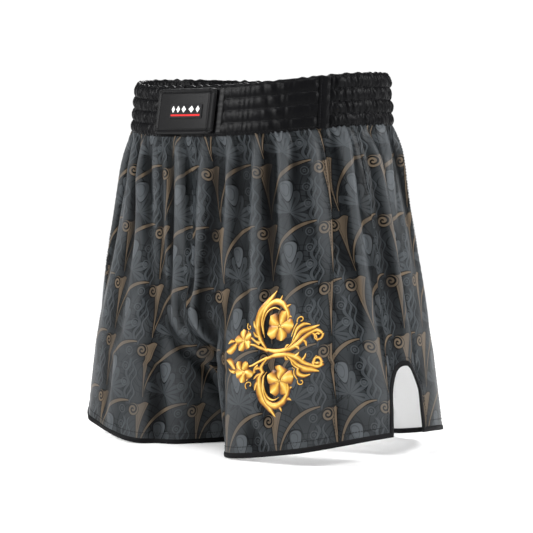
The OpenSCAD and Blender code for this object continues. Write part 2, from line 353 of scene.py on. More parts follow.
def leg_grid(side, folds, deep_folds):
    """Smooth and folded points of a leg, and its outward directions, in the left leg's frame."""
    u, v = GRID_U, GRID_V2
    from_edge = np.minimum(u, 1 - u)
    plain = body_points(u, v)
    round_leg = run_length(plain, 1)
    middle = COLUMNS // 2
    from_side = round_leg - round_leg[:, middle : middle + 1]
    waist = round_leg[0, -1]
    # distance from the front centre, measured as at the waist
    half_girth = np.maximum(waist / 2, np.minimum(round_leg[:, -1:] / 2, SPREAD_LIMIT))
    place = waist / 2 + from_side * (waist / 2) / half_girth
    down = run_length(plain, 0)
    height = np.zeros_like(u)
    signed = place if side == "left" else -place
    for fold in folds:
        height += fold_height(fold, signed, down, 2 * waist)
    for turn, centre, fold in deep_folds:
        if (turn > 0) == (side == "left"):
            height += fold_height(fold, waist - place if centre else place, down, NO_REPEAT)
    # folds fade towards the inner leg below the crotch, and towards the centre line just above it
    calm = mix(smooth((from_edge - 0.03) / 0.2), 1.0, smooth((v - CROTCH_V) / 0.12))
    near_centre = (v < CROTCH_V + 0.25) * smooth(1 - from_edge / 0.06)
    calm = calm * mix(1.0, smooth((v - CROTCH_V) / 0.25), near_centre)
    outward = outward_normals(plain)
    sink = SINK * height.mean(axis=1, keepdims=True)
    folded = plain + outward * ((height - sink) * calm)[..., None]
    folded[0] = mix(folded[0], plain[0], 0.5)
    return plain, folded, outward


def outward_normals(plain):
    n = grid_normals(plain)
    inside_x = mix(0.12, 0.05, smooth((GRID_V2 - CROTCH_V) / 0.5))
    middle = plain * np.array([0, 0, 1]) + np.array([1.0, 0, 0]) * inside_x[..., None]
    if (n * (plain - middle)).sum() < 0:
        n = -n
    flat = np.linalg.norm(np.gradient(plain, axis=1), axis=-1) < 2e-4
    facing = np.where(GRID_U < 0.5, -1.0, 1.0)
    n[flat] = (facing[..., None] * np.array([0, 1.0, 0]))[flat]
    return n


def grid_faces(rows, cols, first=0, flip=False):
    i, j = np.meshgrid(np.arange(rows - 1), np.arange(cols - 1), indexing="ij")
    a = (first + i * cols + j).ravel()
    quads = np.stack([a, a + cols, a + cols + 1, a + 1], axis=1)
    return quads[:, ::-1] if flip else quads


def set_map(obj, name, uv):
    """Gives the mesh a named map from one (x, y) pair for each vertex."""
    layer = obj.data.uv_layers.new(name=name)
    corners = np.empty(len(obj.data.loops), int)
    obj.data.loops.foreach_get("vertex_index", corners)
    layer.data.foreach_set("uv", np.asarray(uv, float).reshape(-1, 2)[corners].ravel())
    return obj


def grid_object(name, grid, materials, flip=False):
    return new_object(name, grid.reshape(-1, 3), grid_faces(*grid.shape[:2], flip=flip), materials)


def welded(points):
    """For each point, the number of the welded point that stands for it."""
    tree = kdtree.KDTree(len(points))
    for i, p in enumerate(points):
        tree.insert(p, i)
    tree.balance()
    stands = np.full(len(points), -1)
    for i, p in enumerate(points):
        if stands[i] < 0:
            stands[i] = i
            for _, j, _ in tree.find_range(p, WELD):
                if stands[j] < 0:
                    stands[j] = i
    used, index = np.unique(stands, return_inverse=True)
    return used, index


def welded_faces(faces, index):
    rings, seen = [], set()
    for face in faces:
        ring = []
        for k in face:
            if int(index[k]) not in ring:
                ring.append(int(index[k]))
        key = tuple(sorted(ring))
        if len(ring) >= 3 and key not in seen:
            seen.add(key)
            rings.append(ring)
    return rings


CLOTH_SETTINGS = {
    "quality": 5,
    "mass": 0.2,
    "tension_stiffness": 14,
    "compression_stiffness": 12,
    "shear_stiffness": 6,
    "bending_stiffness": 6,
    "tension_damping": 6,
    "compression_damping": 6,
    "air_damping": 2,
}


def vertex_vectors(mesh, what):
    flat = np.empty(len(mesh.vertices) * 3)
    mesh.vertices.foreach_get(what, flat)
    return flat.reshape(-1, 3)


def settle(points, rings, held, form):
    """Cloth simulation: the folded cloth hangs from the waist seam and settles on a hidden body form."""
    cloth = new_object("cloth_solver", points, rings)
    cloth.vertex_groups.new(name="held").add(held, 1.0, "REPLACE")
    form.modifiers.new("collision", "COLLISION")
    form.collision.thickness_outer = 0.001
    form.collision.cloth_friction = 8
    mod = cloth.modifiers.new("cloth", "CLOTH")
    for setting, value in CLOTH_SETTINGS.items():
        setattr(mod.settings, setting, value)
    mod.settings.vertex_group_mass = "held"
    mod.collision_settings.collision_quality = 2
    mod.collision_settings.distance_min = 0.001
    mod.point_cache.frame_end = SIM_FRAMES
    for number in range(1, SIM_FRAMES + 1):
        bpy.context.scene.frame_set(number)
    result = cloth.evaluated_get(bpy.context.evaluated_depsgraph_get()).data
    settled = vertex_vectors(result, "co")
    bpy.context.scene.frame_set(1)
    bpy.data.objects.remove(cloth)
    bpy.data.objects.remove(form)
    return settled


def vertex_normals(points, rings):
    mesh = bpy.data.meshes.new("normals")
    mesh.from_pydata(points.tolist(), [], rings)
    normals = vertex_vectors(mesh, "normal")
    bpy.data.meshes.remove(mesh)
    return normals


def iron(grid):
    """Takes out ripples as small as the grid's own spacing."""
    grid = grid.copy()
    grid[:, 1:-1] = grid[:, 1:-1] / 2 + (grid[:, :-2] + grid[:, 2:]) / 4
    grid[1:-1] = grid[1:-1] / 2 + (grid[:-2] + grid[2:]) / 4
    return grid


def hang_cloth():
    """Settled points and outward normals of each leg's grid, in the left leg's frame."""
    waist = run_length(body_points(GRID_U[0], np.ones(COLUMNS + 1)), 0)[-1]
    folds, deep = waist_folds(2 * waist), crotch_folds()
    plain, folded, form = {}, {}, {}
    for side in MIRROR:
        plain[side], folded[side], outward = leg_grid(side, folds, deep)
        gap = mix(SETTLE_GAP_HEM, SETTLE_GAP_WAIST, smooth(GRID_V2 / 0.6))
        form[side] = plain[side] - outward * gap[..., None]
    count = (ROWS + 1) * (COLUMNS + 1)
    faces = [grid_faces(ROWS + 1, COLUMNS + 1), grid_faces(ROWS + 1, COLUMNS + 1, count, flip=True)]

    def both(grids):
        return np.concatenate([(grids[side] * mirror).reshape(-1, 3) for side, mirror in MIRROR.items()])

    used, index = welded(both(plain))
    rings = welded_faces(np.concatenate(faces), index)
    smooth_body = both(plain)[used]
    start = both(folded)[used]
    points = start.copy()
    # cloth near the crotch and the inner legs keeps its starting shape
    from_edge = np.minimum(GRID_U, 1 - GRID_U)
    free = mix(smooth((from_edge - 0.02) / 0.12), 1.0, smooth((GRID_V2 - CROTCH_V - 0.1) / 0.2))
    free = np.concatenate([free.ravel(), free.ravel()])[used][:, None]
    held = sorted({int(index[leg * count + j]) for leg in (0, 1) for j in range(COLUMNS + 1)})
    body_form = new_object("body_form", both(form)[used], rings)
    points = mix(start, settle(points, rings, held, body_form), free)
    # folds that settling has pressed flat swell again
    moved = (points - smooth_body) * SWELL
    size = np.maximum(np.linalg.norm(moved, axis=1, keepdims=True), 1e-6)
    points = smooth_body + moved / size * FOLD_LIMIT * np.tanh(size / FOLD_LIMIT)
    # the hems stay at their own height above the floor
    points[:, 2] = start[:, 2]
    normals = vertex_normals(points, rings)
    if (normals * (points - np.array([0, 0, 0.2])))[:, 1].mean() < 0:
        normals = -normals
    shape = (ROWS + 1, COLUMNS + 1, 3)
    cloth = {}
    for leg, (side, mirror) in enumerate(MIRROR.items()):
        part = index[leg * count : (leg + 1) * count]
        cloth[side] = [iron(values[part].reshape(shape) * mirror) for values in (points, normals)]
    return cloth


CLOTH = hang_cloth()


def catmull(grid, r, c):
    """Smooth interpolation in a grid of points at fractional rows and columns."""
    rows, cols = grid.shape[:2]
    i = np.clip(np.floor(r).astype(int), 0, rows - 2)
    j = np.clip(np.floor(c).astype(int), 0, cols - 2)

    def weights(t):
        return (
            -0.5 * t + t**2 - 0.5 * t**3,
            1 - 2.5 * t**2 + 1.5 * t**3,
            0.5 * t + 2 * t**2 - 1.5 * t**3,
            -0.5 * t**2 + 0.5 * t**3,
        )

    wr, wc = weights(r - i), weights(c - j)
    total = 0
    for a in range(4):
        row = np.clip(i + a - 1, 0, rows - 1)
        for b in range(4):
            col = np.clip(j + b - 1, 0, cols - 1)
            total = total + grid[row, col] * (wr[a] * wc[b])[..., None]
    return total


def cloth_at(side, u, v, lift=0.0):
    """Points of the settled cloth, and its normals, in the left leg's frame."""
    u, v = np.broadcast_arrays(np.asarray(u, float), np.asarray(v, float))
    r = np.interp(v, GRID_V[::-1], np.arange(ROWS, -1, -1.0))
    low = np.clip(np.floor(r).astype(int), 0, ROWS - 1)
    k = np.clip(u, 0, 1) * LOOKUP
    left = np.clip(np.floor(k).astype(int), 0, LOOKUP - 1)
    upper = mix(COLUMN_OF[low, left], COLUMN_OF[low, left + 1], k - left)
    lower = mix(COLUMN_OF[low + 1, left], COLUMN_OF[low + 1, left + 1], k - left)
    c = mix(upper, lower, r - low)
    points, normals = CLOTH[side]
    n = catmull(normals, r, c)
    n = n / np.maximum(np.linalg.norm(n, axis=-1, keepdims=True), 1e-9)
    return catmull(points, r, c) + n * np.asarray(lift)[..., None], n


def row_at(u, above):
    return above / (seam_z(waist_angle(u)) - hem_lift(u))


def u_at_y(y, v):
    depth = mix(WAIST_B, HEM_B, flare_share(v))
    return 0.5 + np.arcsin(np.sign(y) * (np.abs(y) / depth) ** (SQUARENESS / 2)) / (2 * np.pi)


SLIT_ROW = float(row_at(np.array(0.5), SLIT_H / 2))


def slit_u(k, grow=0.0):
    return u_at_y(SLIT_Y + (SLIT_W / 2 + grow) * k, SLIT_ROW)


def slit_top(k, grow=0.0):
    return (SLIT_H + grow) * np.maximum(0, 1 - np.asarray(k) ** 2) ** (1 / SLIT_ROUNDNESS)


GUSSET_U, GUSSET_TIP, GUSSET_LIFT = 0.085, 0.004, 0.0006
GUSSET_V = 0.2 * CROTCH_V


def gusset_reach(v):
    low = GUSSET_TIP * v / GUSSET_V
    high = mix(GUSSET_TIP, GUSSET_U, (v - GUSSET_V) / (CROTCH_V - GUSSET_V))
    return np.where(v > CROTCH_V, 0, np.where(v < GUSSET_V, low, high))


def even_row(side, v, start, end, count):
    """Places round the leg, evenly spaced over the cloth, on each row of v."""
    out = np.empty((len(v), count + 1))
    for i, row in enumerate(v):
        u = np.linspace(start, end, 241)
        p, _ = cloth_at(side, u, np.full_like(u, row))
        length = run_length(p, 0) + np.linspace(0, 1e-6, len(u))
        out[i] = np.interp(np.linspace(0, length[-1], count + 1), length, u)
    return out


def ripples(seed, x, low, high, count=7):
    """Random waves of x, about -1 to 1, with wavelengths between low and high."""
    random = np.random.RandomState(int(seed))
    lengths = np.exp(random.uniform(math.log(low), math.log(high), count))
    phases = random.uniform(0, 2 * math.pi, count)
    return sum(np.sin(2 * math.pi * x / w + p) for w, p in zip(lengths, phases)) / math.sqrt(count)


FOLD_REACH, FOLD_SPAN = 0.015, 0.0022
# gathers under the waistband: seed, height, shortest and longest wave, and how far down they reach
GATHERS = [(0, 0.0008, 0.0045, 0.009, 0.012), (3, 0.0006, 0.009, 0.02, 0.04)]
SEAM_DIP, SEAM_WIDTH = 0.0007, 0.0016
PUCKER, PUCKER_START, PUCKER_REACH = 0.00035, 0.0015, 0.006
HEM_STEP, HEM_STEP_AT = 0.00025, 0.006


def without_folds(points):
    """The same grid with its folds averaged away along each row, looking FOLD_REACH to each side."""
    step = run_length(points, 1)[:, -1].mean() / (points.shape[1] - 1)
    n = max(1, round(FOLD_REACH / step))
    level = points
    for _ in range(2):
        padded = np.pad(level, ((0, 0), (n + 1, n), (0, 0)), mode="reflect", reflect_type="odd")
        total = np.cumsum(padded, axis=1)
        level = (total[:, 2 * n + 1 :] - total[:, : -2 * n - 1]) / (2 * n + 1)
    return level


def cut_size(points):
    """Width and length of a panel's flat cut: its widest row and its longest edge, with seam allowance."""
    width, length = run_length(points, 1)[:, -1].max(), run_length(points, 0)[-1].max()
    return width + 2 * ALLOWANCE, length + 2 * ALLOWANCE


def satin_piece(side, name, points, maps, flat):
    """Printed satin with a white reverse, hung from the waistband."""
    obj = grid_object(f"{side}_{name}", points * MIRROR[side], (PRINT, WHITE), flip=side == "right")
    for map_name, uv in maps.items():
        set_map(obj, map_name, uv)
    piece(thicken(obj, CLOTH_THICKNESS, 1), "printed_satin", f"{side}_{name}")
    whole = flat[0] * flat[1]
    area = min(whole * 0.98, max(sum(p.area for p in obj.data.polygons) * 1.05, 0.32 * whole))


def panel(side, name, u, v, seams, middle):
    """A panel of printed satin over rows v and columns u, with gathers, seam dips and print coordinates."""
    points, normals = cloth_at(side, u, v)
    level = without_folds(points)
    # where the painted shade and painted highlight go: 0 deep in a fold, 0.5 level with the cloth around, 1
    # on a ridge
    shade = 0.5 + 0.5 * np.tanh(((points - level) * normals).sum(axis=-1) / FOLD_SPAN)
    across = run_length(level, 1)
    fall_v = np.linspace(1, 0, 400)
    fall = body_points(np.full(400, middle), fall_v)
    waist_down = np.interp(v, fall_v[::-1], run_length(fall, 0)[::-1])
    s = across - np.array([np.interp(middle, *pair) for pair in zip(u, across)])[:, None]
    # gathers under the waistband, then puckered seams, then the step over the hem's turned edge
    lift = np.zeros_like(s)
    for seed, height, shortest, longest, reach in GATHERS:
        lift += height * ripples(len(name) + seed, s, shortest, longest) * np.exp(-waist_down / reach)
    for edge in seams:
        distance = across if edge == "first" else across[:, -1:] - across
        lift -= SEAM_DIP * np.exp(-((distance / SEAM_WIDTH) ** 2))
        pucker = np.exp(-distance / PUCKER_REACH) * (1 - np.exp(-distance / PUCKER_START))
        lift += PUCKER * pucker * ripples(5, waist_down, PUCKER_REACH, 2 * PUCKER_REACH)
    above_hem = v / row_at(u, 1.0)
    lift += HEM_STEP * smooth(1 - np.abs(above_hem - HEM_STEP_AT) / HEM_STEP_AT)
    # the fold map carries the painted shade in folds and painted highlight on ridges; the print map places
    # the print
    maps = {
        "fold": np.stack([shade, shade], axis=-1),
        "print": np.stack([s * MIRROR[side][0], -waist_down + 0.5], axis=-1),
    }
    satin_piece(side, name, points + normals * lift[..., None], maps, cut_size(points))


def thicken(obj, thickness, inner_material=0, offset=-1):
    mod = obj.modifiers.new("thickness", "SOLIDIFY")
    mod.thickness = thickness
    mod.offset = offset
    mod.material_offset = inner_material
    return obj


# ---------------------------------------------------------------- materials

class Field:
    """A number that varies over a surface, built from math nodes."""

    def __init__(self, tree, socket):
        self.tree, self.socket = tree, socket

    def op(self, kind, *others, clamp=False):
        node = self.tree.nodes.new("ShaderNodeMath")
        node.operation, node.use_clamp = kind, clamp
        for i, x in enumerate((self,) + others):
            if isinstance(x, Field):
                self.tree.links.new(x.socket, node.inputs[i])
            else:
                node.inputs[i].default_value = x
        return Field(self.tree, node.outputs[0])

    def __add__(self, x):
        return self.op("ADD", x)

    def __sub__(self, x):
        return self.op("SUBTRACT", x)

    def __mul__(self, x):
        return self.op("MULTIPLY", x)

    def __truediv__(self, x):
        return self.op("DIVIDE", x)

    def abs(self):
        return self.op("ABSOLUTE")

    def high(self, x):
        return self.op("MAXIMUM", x)

    def power(self, x):
        return self.high(0.0).op("POWER", x)

    def sine(self):
        return self.op("SINE")

    def wrap(self, low, size):
        return ((self - low) / size).op("FRACT") * size + low

    def below(self, limit, soft=0.5):
        return ((self * -1.0 + limit) / soft).op("ADD", 0.5, clamp=True)

    def above(self, limit, soft):
        return ((self - limit) / soft).op("ADD", 0.5, clamp=True)


def distance(x, y):
    return (x * x + y * y).power(0.5)


def surface_fields(material, uv_map):
    tree = material.node_tree
    uv = tree.nodes.new("ShaderNodeUVMap")
    uv.uv_map = uv_map
    split = tree.nodes.new("ShaderNodeSeparateXYZ")
    tree.links.new(uv.outputs[0], split.inputs[0])
    return Field(tree, split.outputs[0]), Field(tree, split.outputs[1])


def mix_colour(tree, under, over, mask):
    node = tree.nodes.new("ShaderNodeMix")
    node.data_type = "RGBA"
    tree.links.new(mask.socket, node.inputs["Factor"])
    for socket, colour in ((node.inputs[6], under), (node.inputs[7], over)):
        if isinstance(colour, tuple):
            socket.default_value = (*colour, 1)
        else:
            tree.links.new(colour, socket)
    return node.outputs[2]


def noise(tree, scale, detail=2.0):
    place = tree.nodes.new("ShaderNodeTexCoord")
    node = tree.nodes.new("ShaderNodeTexNoise")
    node.inputs["Scale"].default_value = scale
    node.inputs["Detail"].default_value = detail
    tree.links.new(place.outputs["Object"], node.inputs["Vector"])
    return Field(tree, node.outputs[0])


def add_bump(material, height, depth):
    """height is a field in 0 to 1, and depth its height in metres."""
    tree = material.node_tree
    bump = tree.nodes.new("ShaderNodeBump")
    bump.inputs["Distance"].default_value = depth
    bump.inputs["Strength"].default_value = 1.0
    tree.links.new(height.socket, bump.inputs["Height"])
    tree.links.new(bump.outputs[0], tree.nodes["Principled BSDF"].inputs["Normal"])


def colour_from(material, socket):
    material.node_tree.links.new(socket, material.node_tree.nodes["Principled BSDF"].inputs["Base Color"])


def weave(x, y, pitch):
    a = (x * (2 * math.pi / pitch)).sine()
    b = (y * (2 * math.pi / pitch)).sine()
    return a * b * 0.5 + 0.5


TILE_W, TILE_H = 0.070, 0.067
MOTIF_W, MOTIF_H = 60.0, 56.0
GROUND = (0.012, 0.0138, 0.015)
# dark ink of the print, also used for the painted shade in the folds
SHADE = (0.0018, 0.0022, 0.0026)
SLATE = (0.038, 0.043, 0.047)
SILVER = (0.075, 0.083, 0.090)
TAUPE = (0.105, 0.079, 0.054)
# painted highlight laid along the ridges of the cloth's folds
PAINTED_RIDGE_HIGHLIGHT = (0.115, 0.123, 0.13)


def printed_satin():
    """Satin printed with rows of curling lily horns, long stems, leaf fans and wavy plumes, with painted
    shade in its folds and painted highlight along their ridges.
    """
    material = new_material("printed_satin", GROUND, 0.36, specular=0.05)
    tree = material.node_tree
    s, t = surface_fields(material, "print")
    x0, y0 = s * (MOTIF_W / TILE_W), t * (MOTIF_H / TILE_H)
    y = y0.wrap(0, MOTIF_H)

    # soft shading of the ground from row to row
    band = (y0 * (2 * math.pi / MOTIF_H) + x0 * 0.05).sine() * 0.5 + 0.5
    colour = mix_colour(tree, GROUND, SLATE, band * 0.35)

    def paint(over, mask):
        nonlocal colour
        colour = mix_colour(tree, colour, over, mask)

    # nested scale lines behind everything
    x = x0.wrap(-30, MOTIF_W)
    for cx, cy, reach in ((-30, -4, 34), (30, -4, 34), (0, 22, 30)):
        r = distance(x - cx, y - cy)
        line = ((r.wrap(0, 5.2) - 2.6).abs()).below(0.42, 0.4) * r.below(reach)
        paint(SHADE, line * 0.75)

    # fan of leaves with a bulb over it
    x = x0.wrap(-8, MOTIF_W)
    row = y
    y = y0.wrap(-14, MOTIF_H)
    fx, fy = x - 21, y - 4
    r = distance(fx, fy)
    turn = fy.op("ARCTAN2", fx)
    leaf = (turn * 4.0).sine().abs()
    edge = leaf.power(0.55) * 19.0 + 3.0
    fan = (r - edge).below(0, 0.8) * turn.above(-0.9, 0.1)
    rim = (r - edge).abs().below(0.5, 0.5)
    vein = leaf.above(0.97, 0.02) * r.below(15)
    paint(SLATE, fan * 0.9)
    paint(SHADE, rim.high(vein * 0.7) * 0.9)
    bx, by = (x - 20) / 5.4, (y - 24) / 9.5
    squeeze = (by * -0.45) + 1.0
    bulb = distance(bx * squeeze, by)
    paint(SHADE, bulb.below(1.13, 0.08))
    paint(SILVER, bulb.below(0.99, 0.08) * 0.85)
    gleam = distance(bx * squeeze + 0.25, by - 0.15)
    paint(SLATE, (gleam - 0.62).abs().below(0.06, 0.06) * bulb.below(0.95, 0.08))

    # wavy plumes
    y = row
    for offset, size in ((45.0, 1.9), (41.2, 2.4), (48.6, 1.5)):
        wave = (y * (6 * math.pi / MOTIF_H) + offset * 0.4).sine() * 2.1 + offset
        away = (x - wave).abs()
        span = (y * (2 * math.pi / MOTIF_H)).sine().above(-0.75, 0.2)
        paint(SHADE, away.below(size * 0.62 + 0.5, 0.4) * span * 0.85)
        paint(SLATE, away.below(size * 0.62, 0.4) * span)
    for cy in (12.0, 27.0, 42.0):
        r = distance(x - 38.0, y - cy)
        ring = (r.wrap(0, 2.4) - 1.2).abs().below(0.45, 0.4) * r.below(4.6, 0.5)
        paint(SILVER, ring * 0.45)

    # long stem that sweeps up to the right
    x = x0.wrap(-14, MOTIF_W)
    ring = distance((x - 45.5) / 45.0, y / 51.0)
    away = (ring - 1.0).abs() * 46.0
    width = (x * (math.pi / 46.0)).sine() * 1.1 + 0.4
    span = x.above(-0.6, 0.5) * x.below(45.4, 0.5)
    paint(SHADE, (away - width).below(0.75, 0.4) * span)
    paint(TAUPE, (away - width).below(0, 0.4) * span)

    # horn that opens upwards, with a curl beside its mouth
    rise = (y / 50.0).high(0.0)
    axis = (rise * 3.0).sine() * -1.5 + 0.4
    half = rise.power(2.6) * 6.2 + 0.35
    away = (x - axis).abs() - half
    mouth = (x * 0.45).sine() * 1.4 + 50.0
    top = y - mouth
    paint(SHADE, away.below(0.8, 0.4) * top.below(0.8, 0.4))
    paint(TAUPE, away.below(0, 0.4) * top.below(0, 0.4))
    inner = (away.abs() - 1.5).abs().below(0.22, 0.3) * top.below(-2.0, 0.5) * rise.above(0.45, 0.1)
    paint(SHADE, inner * 0.5)
    cx, cy = x + 8.2, y - 43.5
    r = distance(cx, cy)
    spiral = (r / 3.6 - cy.op("ARCTAN2", cx) / (2 * math.pi)).op("FRACT")
    band = (spiral - 0.5).abs()
    paint(SHADE, r.below(6.3, 0.4))
    paint(TAUPE, band.below(0.28, 0.12) * r.below(5.8, 0.4))

    # colour wanders a little, as dye does
    cloud = noise(tree, 14.0)
    paint(SHADE, (cloud - 0.45).high(0.0) * 0.5)

    # painted shade: the satin's colour goes nearly black down in the folds, and painted highlight pales it
    # along their ridges
    fold, _ = surface_fields(material, "fold")
    paint(SHADE, (fold * -2.2 + 1.1).high(0.0) * 0.9)
    paint(PAINTED_RIDGE_HIGHLIGHT, (fold * 2.0 - 1.0).high(0.0) * 0.35)
    colour_from(material, colour)
    add_bump(material, weave(s, t, 0.0007) * 0.25 + noise(tree, 900.0) * 0.3, 0.00006)
    return material


def plain_cloth(name, colour, roughness, pitch, depth, cloud=0.35, specular=0.06):
    """Cloth with threads, and a faint change of shade over its surface."""
    material = new_material(name, colour, roughness, specular=specular)
    tree = material.node_tree
    coords = tree.nodes.new("ShaderNodeTexCoord")
    split = tree.nodes.new("ShaderNodeSeparateXYZ")
    tree.links.new(coords.outputs["Object"], split.inputs[0])
    x, y, z = (Field(tree, split.outputs[i]) for i in range(3))
    threads = weave(x + y, z, pitch)
    darker = tuple(c * 0.55 for c in colour)
    shade = mix_colour(tree, colour, darker, noise(tree, 60.0, 3.0) * cloud + threads * 0.2)
    colour_from(material, shade)
    add_bump(material, threads * 0.6 + noise(tree, 700.0) * 0.4, depth)
    return material


def ribbed_tape(name, colour, roughness, pitch):
    material = new_material(name, colour, roughness, specular=0.08)
    along, across = surface_fields(material, "tape")
    ribs = (along * (2 * math.pi / pitch)).sine() * 0.5 + 0.5
    edge = (across - 0.5).abs().above(0.44, 0.02)
    tree = material.node_tree
    lighter = tuple(min(1, c * 1.9 + 0.004) for c in colour)
    shade = mix_colour(tree, colour, lighter, ribs * 0.4)
    colour_from(material, shade)
    add_bump(material, ribs * 0.8 + edge * 0.2, 0.00012)
    return material


# from the shadow between strokes to the gleam along their middles
GOLD_STOPS = (
    (0.0, (0.07, 0.02, 0.002)),
    (0.30, (0.34, 0.13, 0.01)),
    (0.62, (0.68, 0.40, 0.05)),
    (1.0, (0.95, 0.74, 0.29)),
)


def gold_foil():
    material = new_material("gold_print", (0.8, 0.5, 0.1), 0.38, metallic=0.2, specular=0.4)
    tree = material.node_tree
    _, across = surface_fields(material, "tape")
    ramp = tree.nodes.new("ShaderNodeValToRGB")
    while len(ramp.color_ramp.elements) < len(GOLD_STOPS):
        ramp.color_ramp.elements.new(0.5)
    for element, (place, colour) in zip(ramp.color_ramp.elements, GOLD_STOPS):
        element.position = place
        element.color = (*colour, 1)
    middle = (across - 0.58).abs() * -2.1 + 1.0
    level = middle * 0.72 + noise(tree, 110.0, 3.0) * 0.62 - 0.22
    tree.links.new(level.socket, ramp.inputs[0])
    colour_from(material, ramp.outputs[0])
    add_bump(material, noise(tree, 500.0), 0.0001)
    return material


def woven_label():
    """Black label with a row of white diamonds over a red bar, woven in fine ribs."""
    material = new_material("woven_label", (0.006, 0.006, 0.007), 0.6, specular=0.2)
    tree = material.node_tree
    x, y = surface_fields(material, "tape")
    x, y = x * 30.0 - 15.0, y * 10.0
    local = x.wrap(-2.7, 5.4)
    diamond = (local.abs() / 1.9 + (y - 6.3).abs() / 2.4).below(1.0, 0.12) * x.abs().below(13.4, 0.1)
    colour = mix_colour(tree, (0.006, 0.006, 0.007), (0.82, 0.82, 0.80), diamond)
    bar = (y - 2.2).abs().below(0.6, 0.15) * x.abs().below(13.2, 0.1)
    colour = mix_colour(tree, colour, (0.62, 0.02, 0.02), bar)
    colour_from(material, colour)
    add_bump(material, (y * 24.0).sine() * 0.5 + 0.5, 0.00008)
    return material


def pile(name, colour, scale):
    material = new_material(name, colour, 0.85, sheen=0.08, specular=0.08)
    tree = material.node_tree
    cells = tree.nodes.new("ShaderNodeTexVoronoi")
    cells.inputs["Scale"].default_value = scale
    coords = tree.nodes.new("ShaderNodeTexCoord")
    tree.links.new(coords.outputs["Object"], cells.inputs["Vector"])
    height = Field(tree, cells.outputs["Distance"])
    lighter = tuple(min(1, c * 2 + 0.006) for c in colour)
    colour_from(material, mix_colour(tree, lighter, colour, height * 1.4))
    add_bump(material, height, 0.0006)
    return material


PRINT = printed_satin()
WHITE = plain_cloth("white_reverse", (0.93, 0.93, 0.93), 0.7, 0.0008, 0.00005, cloud=0.04)
BLACK_SATIN = plain_cloth("black_satin", (0.0038, 0.0038, 0.0044), 0.36, 0.0007, 0.00006)
TAB_BLACK = (0.0045, 0.0045, 0.005)
TAB_SATIN = plain_cloth("tab_satin", TAB_BLACK, 0.45, 0.0009, 0.00005, cloud=0.15, specular=0.12)
TAPE = ribbed_tape("binding_tape", (0.004, 0.004, 0.0045), 0.6, 0.0011)
ELASTIC = ribbed_tape("elastic", (0.5, 0.5, 0.48), 0.7, 0.0016)
THREAD = plain_cloth("thread", (0.010, 0.010, 0.011), 0.55, 0.0004, 0.00005, cloud=0.1)
GOLD = gold_foil()
LABEL = woven_label()
HOOKS = pile("hook_pile", (0.02, 0.02, 0.022), 900.0)
LOOPS = pile("loop_pile", (0.015, 0.015, 0.017), 1400.0)


# ---------------------------------------------------------------- pieces of the body

HEM_STITCH, SLIT_STITCH, SEAM_STITCH_U = 0.0115, 0.0085, 0.0042
STITCH_LENGTH, STITCH_PITCH, STITCH_RADIUS, STITCH_SIDES, STITCH_LIFT = 0.0026, 1.28, 0.00028, 6, 0.00035
# places along a stitch, as shares of its length, and its thickness there
STITCH_SHAPE = [(-0.5, 0.15), (-0.36, 0.85), (0.0, 1.0), (0.36, 0.85), (0.5, 0.15)]
SLIT_ARC = -np.cos(np.linspace(0, np.pi, 90))
ROW_COUNT = 165
CLOTH_THICKNESS, ALLOWANCE = 0.0005, 0.01

CLOTH_WORD = {
    "printed_satin": "cloth",
    "black_satin": "satin",
    "tab_satin": "satin",
    "binding_tape": "tape",
    "elastic": "band",
    "hook_loop": "pile",
    "woven_label": "weave",
}


def piece(obj, slot, node=None, body="garment"):
    """Puts a mesh on a body, and in a CAD node's place where it stands for one, named after the node and its
    cloth.
    """
    if node:
        obj.name = f"{node}_{CLOTH_WORD[slot]}"
    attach(obj, body)
    if node:
        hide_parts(node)
    return obj


def panel_rows():
    t = np.linspace(0, 1, ROW_COUNT + 1)
    return 1 - (0.82 * t + 0.18 * t**2)


def front_and_back(side):
    v = panel_rows()
    for name, centre, turn, seam in (
        ("front_panel", 0.0, GUSSET_U, SIDE_FRONT_SEAM),
        ("back_panel", 1.0, 1 - GUSSET_U, 1 - SIDE_FRONT_SEAM),
    ):
        inner = even_row(side, v, centre, turn, 30)[:, :-1]
        u = np.concatenate([inner, even_row(side, v, turn, seam, 140)], axis=1)
        seams = ("last",)
        if name == "back_panel":
            u, seams = u[:, ::-1], ("first",)
        panel(side, name, u, np.repeat(v[:, None], u.shape[1], axis=1), seams, seam)


def side_panel(side):
    ends = np.linspace(0, 1, 31)
    shares = -np.cos(np.linspace(0, np.pi, 61))
    before = mix(SIDE_FRONT_SEAM, slit_u(-1), ends[:-1])
    after = mix(slit_u(1), 1 - SIDE_FRONT_SEAM, ends[1:])
    u = np.concatenate([before, slit_u(shares), after])
    low = np.concatenate([np.zeros(30), row_at(slit_u(shares), slit_top(shares)), np.zeros(30)])
    rows = mix(low[None, :], 1.0, panel_rows()[:, None])
    columns = np.repeat(u[None, :], len(rows), axis=0)
    panel(side, "side_panel", columns, rows, ("first", "last"), 0.5)


def gusset(side):
    """Diamond of cloth over the top of the inner leg, which laps the panels."""
    v = np.linspace(GUSSET_V, CROTCH_V, 34)[::-1]
    u = gusset_reach(v)[:, None] * np.linspace(-1, 1, 41)
    rows = np.repeat(v[:, None], u.shape[1], axis=1)
    front, _ = cloth_at(side, np.maximum(u, 0), rows, GUSSET_LIFT)
    back, _ = cloth_at(side, 1 + np.minimum(u, 0), rows, GUSSET_LIFT)
    points = np.where((u >= 0)[..., None], front, back)
    # the gusset's fold map is level, so it gets no painted shade or highlight
    maps = {
        "print": np.stack([run_length(points, 1), 0.2 - run_length(points, 0)], axis=-1),
        "fold": np.full((*u.shape, 2), 0.5),
    }
    satin_piece(side, "crotch_gusset", points, maps, cut_size(points))


def mesh_tape_map(obj, n, m, lengths):
    uv = np.empty((n, m, 2))
    uv[..., 0] = np.asarray(lengths)[:, None]
    uv[..., 1] = np.linspace(0, 1, m)[None, :]
    set_map(obj, "tape", uv)


